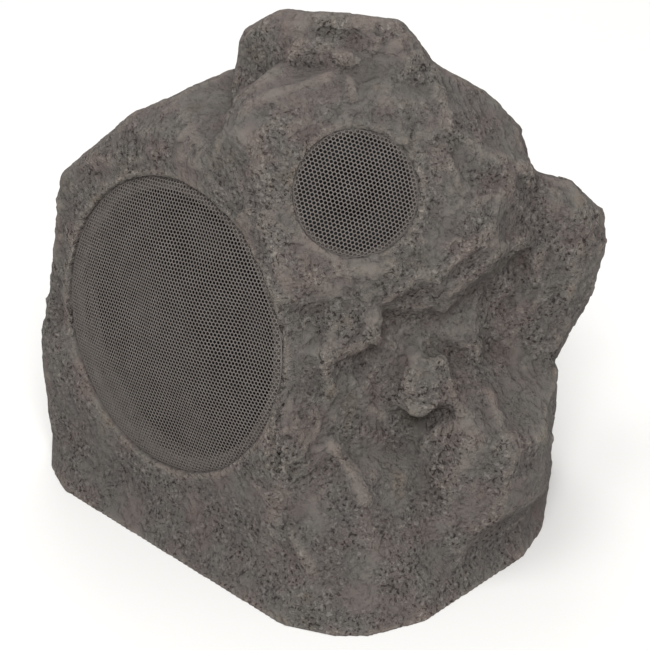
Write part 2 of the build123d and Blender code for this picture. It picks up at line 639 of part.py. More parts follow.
def make_tweeter_top_plate():
    """Steel front plate of the tweeter's magnet."""
    bore = DOME_D / 2 + COIL_WINDING + COIL_GAP
    return TWEETER * ring(TWEETER_MAGNET_D / 2, bore, T_MAGNET, T_TOP_PLATE)


def make_tweeter_magnet():
    """Ferrite ring magnet of the tweeter."""
    return TWEETER * ring(TWEETER_MAGNET_D / 2, TWEETER_MAGNET_BORE_D / 2, T_BACK, T_MAGNET)


def make_tweeter_pole():
    """Steel back plate with the pole inside the tweeter's coil."""
    pole = DOME_D / 2 - COIL_FORMER - COIL_GAP
    return TWEETER * turned(
        (0, T_END), (TWEETER_MAGNET_D / 2, T_END), (TWEETER_MAGNET_D / 2, T_BACK), (pole, T_BACK),
        (pole, T_TOP_PLATE), (0, T_TOP_PLATE))


def make_tweeter_terminal():
    """Tag strip on the back of the tweeter."""
    width, height, thick = TERMINAL
    strip = Pos(0, 0, T_END - thick / 2) * Box(width, height, thick)
    for side in (-1, 1):
        tag = Box(TAG[0], TAG[2], TAG[1])
        strip += Pos(side * width / 4, 0, T_END - thick - TAG[1] / 2) * tag
    return TWEETER * strip


def make_crossover_standoffs():
    """Pillars that carry the crossover board above the base plate."""
    pillar = ring(STANDOFF_D / 2, SMALL_SCREW_D / 2 + SCREW_PLAY, PLATE_TOP, BOARD_BOTTOM)
    return [Pos(*BOARD_AT) * place * pillar for place in BOARD_HOLES]


def make_crossover_board():
    """Printed circuit board of the crossover."""
    board = Pos(0, 0, -BOARD[2] / 2) * Box(*BOARD)
    board -= [place * shank_hole(SMALL_SCREW_D, BOARD[2]) for place in BOARD_HOLES]
    return BOARD_CENTRE * board


def make_crossover_screws():
    """Screws through the board and its pillars into the base plate."""
    length = BOARD[2] + STANDOFF + BASE_PLATE / 2
    fixing = screw(SMALL_SCREW_D, SMALL_SCREW_HEAD_D, SMALL_SCREW_HEAD, length)
    return [BOARD_CENTRE * place * fixing for place in BOARD_HOLES]


COIL_X = BOARD[0] / 2 - BOARD_INSET - STANDOFF_D - BOBBIN_D / 2
COIL_PLACE = Pos(COIL_X, 0)
COIL_SIDE = COIL_X - BOBBIN_D / 2 - PART_GAP    # where the pieces beside the bobbin end


def make_inductor_bobbin():
    """Plastic spool of the woofer's inductor."""
    core, edge = BOBBIN_CORE_D / 2, BOBBIN_D / 2
    return BOARD_CENTRE * COIL_PLACE * turned(
        (BOBBIN_BORE_D / 2, 0), (edge, 0), (edge, BOBBIN_FLANGE), (core, BOBBIN_FLANGE),
        (core, BOBBIN - BOBBIN_FLANGE), (edge, BOBBIN - BOBBIN_FLANGE), (edge, BOBBIN),
        (BOBBIN_BORE_D / 2, BOBBIN))


def make_inductor_winding():
    """Copper winding on the spool."""
    return BOARD_CENTRE * COIL_PLACE * ring(
        WINDING_D / 2, BOBBIN_CORE_D / 2, BOBBIN_FLANGE, BOBBIN - BOBBIN_FLANGE)


def capacitor(diameter, length):
    """Round capacitor lying on the board, along X, with rounded ends."""
    can = Cylinder(diameter / 2, length)
    can = fillet(can.edges(), CAPACITOR_ROUND)
    return Pos(0, 0, diameter / 2) * Rot(0, 90, 0) * can


def make_woofer_capacitor():
    """Large capacitor of the woofer's filter."""
    place = Pos(COIL_SIDE - CAPACITOR / 2, BOARD[1] / 2 - BOARD_INSET - CAPACITOR_D / 2)
    return BOARD_CENTRE * place * capacitor(CAPACITOR_D, CAPACITOR)


def make_tweeter_capacitor():
    """Small capacitor of the tweeter's filter."""
    place = Pos(COIL_SIDE - SMALL_CAPACITOR / 2, 0)
    return BOARD_CENTRE * place * capacitor(SMALL_CAPACITOR_D, SMALL_CAPACITOR)


def make_crossover_resistor():
    """Ceramic resistor that trims the tweeter's level."""
    front = BOARD_INSET + RESISTOR[1] - BOARD[1] / 2
    place = Pos(COIL_SIDE - RESISTOR[0] / 2, front, RESISTOR[2] / 2)
    return BOARD_CENTRE * place * Box(*RESISTOR)


BLOCK_PLACE = Pos(-BOARD[0] / 2 + BOARD_INSET + BLOCK[0], 0, 0)


def make_terminal_block():
    """Screw terminal block at the edge of the board, with a wire way for each core."""
    block = Pos(0, 0, BLOCK[2] / 2) * Box(*BLOCK)
    pitch = BLOCK[1] / BLOCK_WAYS
    way = Rot(0, 90, 0) * Cylinder(BLOCK_WAY_D / 2, BLOCK[0])
    for number in range(BLOCK_WAYS):
        across = (number - (BLOCK_WAYS - 1) / 2) * pitch
        block -= Pos(-BLOCK[0] / 2, across, BLOCK[2] / 2) * way
    return BOARD_CENTRE * BLOCK_PLACE * block


def lead(points):
    """Twin lead along hand-set points: straight runs joined by arcs as large as the runs allow."""
    points = [Vector(*point) for point in points]
    runs = [end - start for start, end in zip(points, points[1:])]
    radii = []
    for before, after in zip(runs, runs[1:]):
        half_turn = radians(before.get_angle(after)) / 2
        radii.append(LEAD_BEND * min(before.length, after.length) / tan(half_turn))
    print("lead bend radii", [round(radius, 1) for radius in radii])
    path = FilletPolyline(*points, radius=radii)
    start = Plane(origin=points[0], z_dir=runs[0])
    return sweep(start * Circle(LEAD_D / 2), path=path)


def block_way(number):
    """Point inside a wire way of the terminal block."""
    pitch = BLOCK[1] / BLOCK_WAYS
    across = (number - (BLOCK_WAYS - 1) / 2) * pitch
    place = BOARD_CENTRE * BLOCK_PLACE * Pos(-BLOCK[0] / 2, across, BLOCK[2] / 2)
    return place.position


def make_woofer_lead():
    """Twin lead from the terminal block to the woofer's tags."""
    way = block_way(0)
    cup = SHELF_D / 2 - SHELF_WIDTH + BASKET_SHEET
    tag = WOOFER.from_local_coords(
        Vector(0, -cup - TERMINAL[2] - TAG[1] - FIT, W_PLATE + TERMINAL[1] / 2))
    return lead([way, way + Vector(-18, -2, 2), way + Vector(-36, -6, 8), tag + Vector(4, 4, -16), tag])


def make_tweeter_lead():
    """Twin lead from the terminal block up to the tweeter's tags."""
    way = block_way(BLOCK_WAYS - 1)
    tag = TWEETER.from_local_coords(Vector(0, 0, T_END - TERMINAL[2] - TAG[1] - FIT))
    return lead([way, way + Vector(-14, 6, 2), way + Vector(-18, 16, 22), (18, 92, 110),
                 (20, 84, 165), (8, 64, 205), tag + Vector(-5, 12, -8), tag])


NODES = {
    "rock_shell": make_rock_shell,
    "base_plate": make_base_plate,
    "base_gasket": make_base_gasket,
    "base_screws": make_base_screws,
    "cable_grommet": make_cable_grommet,
    "woofer_grille": make_woofer_grille,
    "woofer_gasket": make_woofer_gasket,
    "woofer_basket": make_woofer_basket,
    "woofer_screws": make_woofer_screws,
    "woofer_top_plate": make_top_plate,
    "woofer_magnet": make_woofer_magnet,
    "woofer_pole_piece": make_pole_piece,
    "woofer_voice_coil": make_voice_coil,
    "woofer_cone": make_cone,
    "woofer_dust_cap": make_dust_cap,
    "woofer_surround": make_surround,
    "woofer_surround_ring": make_surround_ring,
    "woofer_spider": make_spider,
    "woofer_terminal": make_woofer_terminal,
    "tweeter_grille": make_tweeter_grille,
    "tweeter_gasket": make_tweeter_gasket,
    "tweeter_faceplate": make_tweeter_faceplate,
    "tweeter_screws": make_tweeter_screws,
    "tweeter_dome": make_tweeter_dome,
    "tweeter_coil": make_tweeter_coil,
    "tweeter_top_plate": make_tweeter_top_plate,
    "tweeter_magnet": make_tweeter_magnet,
    "tweeter_pole_piece": make_tweeter_pole,
    "tweeter_terminal": make_tweeter_terminal,
    "crossover_standoffs": make_crossover_standoffs,
    "crossover_board": make_crossover_board,
    "crossover_screws": make_crossover_screws,
    "inductor_bobbin": make_inductor_bobbin,
    "inductor_winding": make_inductor_winding,
    "woofer_capacitor": make_woofer_capacitor,
    "tweeter_capacitor": make_tweeter_capacitor,
    "crossover_resistor": make_crossover_resistor,
    "terminal_block": make_terminal_block,
    "woofer_lead": make_woofer_lead,
    "tweeter_lead": make_tweeter_lead,
}

pieces = {name: make() for name, make in NODES.items()}
box = pieces["rock_shell"].bounding_box()
set_down = Pos(-box.center().X, -box.center().Y, -box.min.Z)

os.makedirs("parts", exist_ok=True)
for name, piece in pieces.items():
    solids = piece if isinstance(piece, list) else [piece]
    export_step(set_down * Compound(children=[Part(s.wrapped) for s in solids]), f"parts/{name}.step")
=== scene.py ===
"""Looks of the rock shaped garden speaker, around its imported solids. Metres, +Z up, front towards -Y."""
from math import cos, pi, radians, sin, sqrt

import bpy
import numpy as np
from mathutils import Matrix, Quaternion, Vector, bvhtree, kdtree, noise


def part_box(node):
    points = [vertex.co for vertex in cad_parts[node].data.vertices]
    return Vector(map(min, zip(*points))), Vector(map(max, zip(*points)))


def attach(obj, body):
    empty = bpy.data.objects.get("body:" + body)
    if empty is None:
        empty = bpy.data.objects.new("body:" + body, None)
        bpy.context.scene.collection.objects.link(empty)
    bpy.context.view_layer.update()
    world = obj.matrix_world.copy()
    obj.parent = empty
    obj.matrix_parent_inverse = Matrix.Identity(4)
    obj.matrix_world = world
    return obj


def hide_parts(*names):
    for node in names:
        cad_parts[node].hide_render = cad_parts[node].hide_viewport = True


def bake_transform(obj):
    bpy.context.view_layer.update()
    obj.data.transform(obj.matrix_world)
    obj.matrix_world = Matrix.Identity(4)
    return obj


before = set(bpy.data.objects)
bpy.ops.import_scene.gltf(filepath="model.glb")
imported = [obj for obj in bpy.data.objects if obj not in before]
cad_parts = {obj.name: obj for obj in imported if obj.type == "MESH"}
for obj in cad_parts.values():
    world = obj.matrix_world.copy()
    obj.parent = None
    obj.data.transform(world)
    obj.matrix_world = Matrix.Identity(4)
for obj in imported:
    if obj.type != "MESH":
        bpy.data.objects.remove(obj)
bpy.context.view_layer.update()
MM = 0.001

# Rock housing
# The real rock is one hollow casting of stone-filled resin from a rough mould, tinted in the mass and
# brushed with lighter paint. Each driver sits in a stepped well, and the foot is a plain rim.
ROCK_VOXEL = 2.05 * MM      # size of the skin's faces
STEP_SMOOTHING = 4          # rounds of smoothing that melt the steps between voxels
SMOOTHING = 0.5             # strength of a round


def pick_only(piece):
    """Selects one object and makes it active."""
    bpy.ops.object.select_all(action="DESELECT")
    piece.select_set(True)
    bpy.context.view_layer.objects.active = piece


def node_copy(node, name):
    """Copy of a CAD node's mesh as a new object, with its loose triangles merged."""
    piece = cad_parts[node].copy()
    piece.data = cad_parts[node].data.copy()
    for key in list(piece.keys()):
        del piece[key]
    piece.name, piece.data.name = name, name
    piece.parent = None
    piece.hide_viewport = piece.hide_render = False
    piece.data.materials.clear()
    bpy.context.scene.collection.objects.link(piece)
    pick_only(piece)
    bpy.ops.object.mode_set(mode="EDIT")
    bpy.ops.mesh.select_all(action="SELECT")
    bpy.ops.mesh.remove_doubles(threshold=1e-6)
    bpy.ops.object.mode_set(mode="OBJECT")
    return piece


def apply_modifier(piece, kind, **settings):
    """Adds a modifier with its settings and applies it."""
    pick_only(piece)
    modifier = piece.modifiers.new(kind, kind)
    for option, value in settings.items():
        setattr(modifier, option, value)
    bpy.ops.object.modifier_apply(modifier=modifier.name)


rock = node_copy("rock_shell", "rock")
rock.data.remesh_voxel_size = ROCK_VOXEL
pick_only(rock)
bpy.ops.object.voxel_remesh()
apply_modifier(rock, "SMOOTH", factor=SMOOTHING, iterations=STEP_SMOOTHING)


def read_points(piece):
    """Vertex places and normals of a mesh."""
    count = len(piece.data.vertices)
    places, normals = np.empty(count * 3), np.empty(count * 3)
    piece.data.vertices.foreach_get("co", places)
    piece.data.vertices.foreach_get("normal", normals)
    return places.reshape(-1, 3), normals.reshape(-1, 3)


def write_points(piece, places):
    """Moves a mesh's vertices to new places."""
    piece.data.vertices.foreach_set("co", places.ravel())
    piece.data.update()


def node_points(node):
    """Vertex places of a CAD node."""
    return read_points(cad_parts[node])[0]


def driver_axis(front_node, rear_node):
    """Middle of a driver's front plate, and the direction that the driver faces."""
    front = sum(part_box(front_node), Vector()) / 2
    rear = sum(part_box(rear_node), Vector()) / 2
    return front, (front - rear).normalized()


def along_axis(places, middle, aim):
    """Height along a driver's axis and distance from it."""
    offset = places - np.array(middle)
    height = offset @ np.array(aim)
    return height, np.linalg.norm(offset - height[:, None] * np.array(aim), axis=1)


def ramp(values, low, high):
    """Smooth step from 0 at low to 1 at high."""
    share = np.clip((values - low) / (high - low), 0, 1)
    return share * share * (3 - 2 * share)


woofer_middle, woofer_aim = driver_axis("woofer_top_plate", "woofer_magnet")
tweeter_middle, tweeter_aim = driver_axis("tweeter_top_plate", "tweeter_magnet")
SEATS = ((woofer_middle, woofer_aim, "woofer_grille"), (tweeter_middle, tweeter_aim, "tweeter_grille"))

# The skin that is seen is found by looking outwards from each point, past all that closes the inside.
SKIN_NODES = ("rock_shell", "base_plate", "woofer_basket", "woofer_cone", "woofer_surround",
              "woofer_dust_cap", "tweeter_faceplate", "tweeter_dome")
LOOK_START = 1.5 * MM       # a look starts just off the skin
LOOK_SLANT = 1.2            # how far the further looks lean to a side
LOOK_GRAZING = 0.1          # looks flatter to the skin than this are left out
RECESS = 30 * MM            # height of the hollow under the base
FOOT_CALM = (0.5 * MM, 14 * MM)         # heights between which the lower edge's clean line ends
RIM_CALM = (1.5 * MM, 9 * MM)           # distances from a grille between which its smooth band ends


def outer_skin(places, normals):
    """How far each point belongs to the seen skin: 0 inside, in the wells and under the rim."""
    corners, faces = [], []
    for node in SKIN_NODES:
        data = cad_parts[node].data
        first = len(corners)
        corners += [vertex.co for vertex in data.vertices]
        faces += [[first + corner for corner in polygon.vertices] for polygon in data.polygons]
    walls = bvhtree.BVHTree.FromPolygons(corners, faces)
    sides = [LOOK_SLANT * Vector(way) for way in ((1, 0, 0), (0, -1, 0), (-1, 0, 0), (0, 0, 1))]
    skin = np.zeros(len(places))
    for number, (place, normal) in enumerate(zip(places, normals)):
        start, out = Vector(place + normal * LOOK_START), Vector(normal)
        ways = [out] + [(out + side).normalized() for side in sides]
        skin[number] = any(walls.ray_cast(start, way)[0] is None
                           for way in ways if way.dot(out) > LOOK_GRAZING)
    outward = np.einsum("ij,ij->i", places[:, :2], normals[:, :2])
    skin *= ramp(places[:, 2], *FOOT_CALM) * ((outward > 0) | (places[:, 2] > RECESS))
    for middle, aim, grille in SEATS:
        rim = along_axis(node_points(grille), middle, aim)[1].max()
        height, reach = along_axis(places, middle, aim)
        calm = skin * ramp(reach, rim + RIM_CALM[0], rim + RIM_CALM[1])
        skin = np.where(height > 0, calm, skin)
    return skin


def wear_down(piece, shares, rounds):
    """Smooths a mesh, each point by its share."""
    group = piece.vertex_groups.new(name="wear_and_painted_shade")
    for number in np.flatnonzero(shares):
        group.add([int(number)], shares[number], "REPLACE")
    apply_modifier(piece, "SMOOTH", factor=SMOOTHING, iterations=rounds, vertex_group="wear_and_painted_shade")
    piece.vertex_groups.clear()


WEATHERING = 3              # rounds of smoothing that wear the rock's edges down
FOOT_WEATHERING = 40        # further rounds for the foot
SMOOTH_FOOT = (50 * MM, 100 * MM)       # heights between which the smooth foot turns rough
skin = outer_skin(*read_points(rock))
wear_down(rock, skin, WEATHERING)
wear_down(rock, skin * (1 - ramp(read_points(rock)[0][:, 2], *SMOOTH_FOOT)), FOOT_WEATHERING)

# Layers of relief that cover the whole skin
BROAD_SWELL = (75 * MM, 2.0 * MM, 2, 1)                             # size, height, octaves and seed
CHIPS = ((40 * MM, 2.0 * MM, 3), (17 * MM, 1.0 * MM, 5))            # size, height and seed
CREASES = ((26 * MM, 1.0 * MM, 4, 2), (9 * MM, 0.5 * MM, 2, 4))     # size, height, octaves and seed
CHIP_TILT = 0.55            # slope of a chip
CHIP_LIFT = 0.25            # most that a chip is raised or sunk, as a share of its own relief
FOOT_ROUGHNESS = 0.4        # share of the relief that the foot keeps
FLAT_TOP = (0.5, 0.8)       # upward parts of the normal between which the relief falls to half
OCTAVE_FADE, OCTAVE_STEP = 0.9, 2.1     # how the octaves of a noise weaken and shrink
RIDGE_OFFSET, RIDGE_GAIN = 1.0, 2.0
SEED_STEP = (7.31, 3.17, 5.73)          # shift of the noise from one seed to the next


def chip_field(places, size, tilt, seed):
    """Heights of flat chips: every cell of scattered seeds is a plane that tilts its own way."""
    random = np.random.default_rng(seed)
    low, high = places.min(0) - size, places.max(0) + size
    counts = np.ceil((high - low) / size).astype(int)
    grid = np.stack(np.meshgrid(*[np.arange(n) for n in counts], indexing="ij"), -1).reshape(-1, 3)
    seeds = low + (grid + random.random(grid.shape)) * size
    tilts = random.normal(size=grid.shape)
    tilts *= tilt / np.linalg.norm(tilts, axis=1)[:, None]
    lifts = random.uniform(-CHIP_LIFT, CHIP_LIFT, len(seeds)) * size * tilt
    tree = kdtree.KDTree(len(seeds))
    for number, spot in enumerate(seeds):
        tree.insert(spot, number)
    tree.balance()
    heights = np.empty(len(places))
    for number, spot in enumerate(places):
        planes = sorted(lifts[near] + (spot - seeds[near]) @ tilts[near]
                        for _, near, _ in tree.find_n(spot, 3))
        heights[number] = planes[1]
    return heights / (size * tilt)


def noise_field(places, size, octaves, seed, ridged=False):
    """Heights of layered noise, about -1 to 1, or of sharp ridges between rounded hollows."""
    shift = Vector([seed * step for step in SEED_STEP])
    spots = [Vector(place) / size + shift for place in places]
    if not ridged:
        return np.array([noise.fractal(spot, OCTAVE_FADE, OCTAVE_STEP, octaves) for spot in spots])
    heights = np.array([noise.ridged_multi_fractal(spot, OCTAVE_FADE, OCTAVE_STEP, octaves,
                                                   RIDGE_OFFSET, RIDGE_GAIN) for spot in spots])
    return (heights - heights.mean()) / (2 * heights.std())


places, normals = read_points(rock)
seen = skin > 0
rough = FOOT_ROUGHNESS + (1 - FOOT_ROUGHNESS) * ramp(places[:, 2], *SMOOTH_FOOT)[seen]
rough *= 1 - ramp(normals[:, 2], *FLAT_TOP)[seen] / 2
size, height, octaves, seed = BROAD_SWELL
relief = height * noise_field(places[seen], size, octaves, seed)
for size, height, seed in CHIPS:
    relief += rough * height * chip_field(places[seen], size, CHIP_TILT, seed)
for size, height, octaves, seed in CREASES:
    relief += rough * height * noise_field(places[seen], size, octaves, seed, ridged=True)
relief -= relief.mean()
places[seen] += normals[seen] * (relief * skin[seen])[:, None]
write_points(rock, places)

# Ridges and crevices that the photograph shows, each as points close to the rock in millimetres, then
# its half width and its height. A crevice has a height below zero.
STROKES = (
    ([(8, 15, 318), (18, 18, 321), (28, 18, 318)], 7, -4),
    ([(-18, -28, 285), (2, -16, 292), (15, -7, 294), (30, 14, 307)], 5, 2.5),
    ([(40, -9, 291), (30, 14, 306)], 3, 3),
    ([(83, 22, 288), (93, 9, 274), (113, 15, 257), (137, 39, 236)], 5, 2.5),
    ([(22, -57, 225), (47, -54, 209), (72, -42, 203)], 6, 3),
    ([(70, -33, 163), (66, -50, 153), (58, -52, 136)], 6, -4),
    ([(84, -40, 104), (98, -30, 96), (115, -30, 102)], 6, -4),
    ([(91, -35, 138), (101, -22, 140), (112, -9, 130)], 5, -4),
    ([(91, -35, 138), (84, -39, 111)], 5, 3),
    ([(40, -63, 152), (45, -66, 125)], 5, 4),
    ([(48, -74, 91), (58, -74, 77), (71, -82, 62)], 5, 4),
    ([(34, -105, 43), (50, -115, 28)], 4, 3),
    ([(131, -18, 109), (146, -35, 92), (164, 10, 66)], 5, 3),
    ([(126, -65, 24), (142, -42, 24), (156, -10, 22)], 8, 4),
    ([(79, -36, 179), (107, -28, 190), (122, -17, 202)], 7, -3),
    ([(137, 29, 181), (136, 25, 162), (131, 19, 147)], 7, -4),
)
STROKE_FALL = 1.5           # power that sharpens a stroke's crest


def stroke_field(places, points, half_width, height):
    """Heights of one ridge or crevice along points on the rock, fading out at its sides and ends."""
    heights = np.zeros(len(places))
    spots = [places[np.linalg.norm(places - np.array(point) * MM, axis=1).argmin()] for point in points]
    for start, end in zip(spots, spots[1:]):
        run = end - start
        share = np.clip((places - start) @ run / (run @ run), 0, 1)
        away = np.linalg.norm(places - start - share[:, None] * run, axis=1)
        heights = np.maximum(heights, 1 - ramp(away, 0, 2 * half_width * MM))
    return height * MM * heights ** STROKE_FALL


places, normals = read_points(rock)
carving = sum(stroke_field(places[seen], *stroke) for stroke in STROKES)
places[seen] += normals[seen] * (carving * skin[seen])[:, None]

# The edge of each well strays in over the grille's rim and out.
LIP_START = 1 * MM          # inside the rim
LIP_BAND = 7 * MM           # outside the rim
LIP_FULL = 0.4              # share of the band that strays in full
LIP_RISE = (0.3 * MM, 1.2 * MM)         # heights over the rim between which the straying starts
LIP_STRAY = (16 * MM, 1.3 * MM, 3, 8)   # size, height, octaves and seed
RIM_EDGE = 0.5 * MM         # the part of a grille that counts as its rim
for middle, aim, grille in SEATS:
    grille_height, grille_reach = along_axis(node_points(grille), middle, aim)
    rim = grille_reach.max()
    rim_top = grille_height[grille_reach > rim - RIM_EDGE].max()
    height, reach = along_axis(places, middle, aim)
    lip = (reach > rim - LIP_START) * (1 - ramp(reach, rim + LIP_FULL * LIP_BAND, rim + LIP_BAND))
    lip *= ramp(height, rim_top + LIP_RISE[0], rim_top + LIP_RISE[1])
    near = np.flatnonzero(lip)
    out = places[near] - np.array(middle) - height[near, None] * np.array(aim)
    size, most, octaves, seed = LIP_STRAY
    stray = noise_field(places[near], size, octaves, seed) * most * lip[near]
    places[near] -= out / reach[near, None] * stray[:, None]
write_points(rock, places)

ROCK_FACES = 98000          # quads left once the unseen inside is thinned out
inside = rock.vertex_groups.new(name="inside")
inside.add(np.flatnonzero(skin == 0).tolist(), 1.0, "REPLACE")
kept_share = min(1.0, ROCK_FACES / len(rock.data.polygons))
apply_modifier(rock, "DECIMATE", ratio=kept_share, vertex_group="inside")
rock.vertex_groups.clear()
pick_only(rock)
bpy.ops.object.shade_smooth()


def neighbour_mean(piece, values):
    """Mean of each vertex's neighbours."""
    edges = np.empty(len(piece.data.edges) * 2, int)
    piece.data.edges.foreach_get("vertices", edges)
    first, second = edges[::2], edges[1::2]
    count = np.bincount(edges, minlength=len(values))
    total = np.bincount(first, values[second], len(values))
    total += np.bincount(second, values[first], len(values))
    return total / np.maximum(count, 1)


# Height of each point above the skin around it, which the colour follows: paler on ridges where lighter
# paint was brushed, darker in hollows as painted shade
WEAR_AND_SHADE_REACH = 14             # rings of neighbours that a point is compared with
WEAR_AND_SHADE_DEPTH = 1.2 * MM
places, normals = read_points(rock)
around = places.copy()
for _ in range(WEAR_AND_SHADE_REACH):
    around = np.stack([neighbour_mean(rock, around[:, axis]) for axis in range(3)], 1)
stands_out = np.einsum("ij,ij->i", places - around, normals) / WEAR_AND_SHADE_DEPTH
wear_and_painted_shade = rock.data.attributes.new("wear_and_painted_shade", "FLOAT", "POINT")
wear_and_painted_shade.data.foreach_set("value", np.clip((1 + stands_out) / 2, 0, 1).astype(np.float32))


def colour(code):
    """Linear colour of an sRGB hex code."""
    parts = [int(code[i:i + 2], 16) / 255 for i in (1, 3, 5)]
    return [p / 12.92 if p <= 0.04045 else ((p + 0.055) / 1.055) ** 2.4 for p in parts] + [1.0]


def set_inputs(material, node, inputs):
    """Gives a node its inputs: values or output sockets, by input name or number."""
    for name, value in inputs.items():
        if isinstance(value, bpy.types.NodeSocket):
            material.node_tree.links.new(value, node.inputs[name])
        else:
            node.inputs[name].default_value = value


def add_node(material, kind, inputs, **settings):
    """Adds a node with its inputs and its own options."""
    node = material.node_tree.nodes.new(kind)
    for option, value in settings.items():
        setattr(node, option, value)
    set_inputs(material, node, inputs)
    return node


def new_material(name):
    """Empty node material, its shader and its object coordinates."""
    material = bpy.data.materials.new(name)
    material.use_nodes = True
    shader = material.node_tree.nodes["Principled BSDF"]
    return material, shader, add_node(material, "ShaderNodeTexCoord", {}).outputs["Object"]


def speckle(material, here, size, inputs, **settings):
    """Noise with blobs of one size in metres."""
    inputs = {"Vector": here, "Scale": 1 / size, **inputs}
    return add_node(material, "ShaderNodeTexNoise", inputs, **settings).outputs["Fac"]


def calculate(material, operation, *values):
    """Result of a math node."""
    return add_node(material, "ShaderNodeMath", dict(enumerate(values)), operation=operation).outputs[0]


def stretch(material, value, old, new=(0.0, 1.0), **settings):
    """Value of an old range in a new range."""
    inputs = {"Value": value, "From Min": old[0], "From Max": old[1], "To Min": new[0], "To Max": new[1]}
    return add_node(material, "ShaderNodeMapRange", inputs, **settings).outputs[0]


def tone(material, value, *stops):
    """Colour that follows a value through stops, each a position and a hex code."""
    node = add_node(material, "ShaderNodeValToRGB", {"Fac": value})
    elements = node.color_ramp.elements
    while len(elements) < len(stops):
        elements.new(0.5)
    for element, (position, code) in zip(elements, stops):
        element.position = position
        element.color = colour(code)
    return node.outputs["Color"]


MIX_A, MIX_B, MIX_RESULT = 6, 7, 2      # colour sockets of a mix node


def mix(material, share, under, over, **settings):
    """Colour of one layer over another."""
    inputs = {0: share, MIX_A: under, MIX_B: over}
    return add_node(material, "ShaderNodeMix", inputs, data_type="RGBA", **settings).outputs[MIX_RESULT]


def emboss(material, height, strength, depth):
    """Normal of a surface with fine relief, its depth in metres."""
    inputs = {"Height": height, "Strength": strength, "Distance": depth}
    return add_node(material, "ShaderNodeBump", inputs).outputs["Normal"]


# Stone-filled resin, cast in a rough mould: dull grey-brown, with pits darkened by painted shade and raised
# crumbs paled by painted highlight in patches, smoother on top, paler where its ridges were brushed, darker
# in hollows by painted shade, and faintly tinted red, olive and teal
CRUMB = 2.3 * MM
FOLD = 8 * MM
GRIT = 1.3 * MM             # coarser than the real grit, so that it shows
PATCH = 22 * MM             # patches that are pitted
BLOTCH = 38 * MM
TINT = 26 * MM
PATCH_EDGE = (0.34, 0.58)   # values of the noise between which each of these sets in
SHADED_PIT_EDGE = (0.33, 0.44)
CRUMB_HIGHLIGHT_EDGE = (0.52, 0.60)
TOP_EDGE = (0.6, 0.9)       # upward parts of the normal between which the pits thin out
TOP_PITS = 0.35             # share of the pits that is left on top
TINT_SHARE, HIGHLIGHT_SHARE, BRUSHED_AND_SHADE_SHARE = 0.24, 0.4, 0.7
FOLD_WEIGHT, GRIT_WEIGHT = 1.1, 0.9
STONE_RELIEF = 1.15 * MM
stone, shader, here = new_material("stone_filled_resin")
crumbs = speckle(stone, here, CRUMB, {"Detail": 2.0, "Roughness": 0.6, "Distortion": 0.3})
folds = speckle(stone, here, FOLD, {"Detail": 4.0, "Roughness": 0.6, "Offset": 1.0, "Gain": 1.0},
                noise_type="RIDGED_MULTIFRACTAL")
grit = speckle(stone, here, GRIT, {"Detail": 2.0})
patches = speckle(stone, here, PATCH, {"Detail": 3.0})
blotches = speckle(stone, here, BLOTCH, {"Detail": 4.0})
tints = speckle(stone, here, TINT, {"Detail": 3.0})
surface = add_node(stone, "ShaderNodeNewGeometry", {}).outputs["True Normal"]
upward = add_node(stone, "ShaderNodeSeparateXYZ", {0: surface}).outputs["Z"]
pitted = calculate(stone, "MULTIPLY", stretch(stone, patches, PATCH_EDGE),
                   stretch(stone, upward, TOP_EDGE, (1.0, TOP_PITS)))
shaded_pit = stretch(stone, crumbs, SHADED_PIT_EDGE, (1.0, 0.0), interpolation_type="SMOOTHSTEP")
shaded_pit = calculate(stone, "MULTIPLY", shaded_pit, pitted)
crumb_and_highlight = stretch(stone, crumbs, CRUMB_HIGHLIGHT_EDGE, interpolation_type="SMOOTHSTEP")
crumb_and_highlight = calculate(stone, "MULTIPLY", crumb_and_highlight, pitted)
body = tone(stone, blotches, (0.30, "#706A66"), (0.52, "#776F6B"), (0.75, "#7F7872"))
tint = tone(stone, tints, (0.30, "#816C66"), (0.45, "#79706D"), (0.58, "#6F7670"), (0.70, "#78705F"))
body = mix(stone, TINT_SHARE, body, tint)
# Painted shade: the sunk pits are coloured dark for the shade in them. Painted highlight: the raised crumbs
# are coloured pale.
body = mix(stone, shaded_pit, body, colour("#3F3735"))
body = mix(stone, calculate(stone, "MULTIPLY", crumb_and_highlight, HIGHLIGHT_SHARE), body, colour("#A39D97"))
# Painted shade darkens the hollows, and brushed lighter paint makes the ridges paler.
brushed_and_shade = add_node(stone, "ShaderNodeAttribute", {}, attribute_name="wear_and_painted_shade").outputs["Fac"]
brushed_and_shade = tone(stone, brushed_and_shade, (0.1, "#6A6867"), (0.5, "#808080"), (0.95, "#A8A5A1"))
body = mix(stone, BRUSHED_AND_SHADE_SHARE, body, brushed_and_shade, blend_type="OVERLAY")
height = calculate(stone, "MULTIPLY_ADD", folds, FOLD_WEIGHT, crumb_and_highlight)
height = calculate(stone, "MULTIPLY_ADD", grit, GRIT_WEIGHT, height)
height = calculate(stone, "SUBTRACT", height, shaded_pit)
set_inputs(stone, shader, {"Base Color": body, "Normal": emboss(stone, height, 1.0, STONE_RELIEF),
                           "Roughness": 0.88, "Specular IOR Level": 0.2})
rock.data.materials.append(stone)
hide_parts("rock_shell")
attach(rock, "housing")

# Base
# A flat moulded plate closes the rock from below. It is screwed up against a ledge over a foam rubber
# gasket, and a pushed-in grommet seals the cable's way in.
GLOSS_PLAY = 0.08           # how far a grain varies the roughness


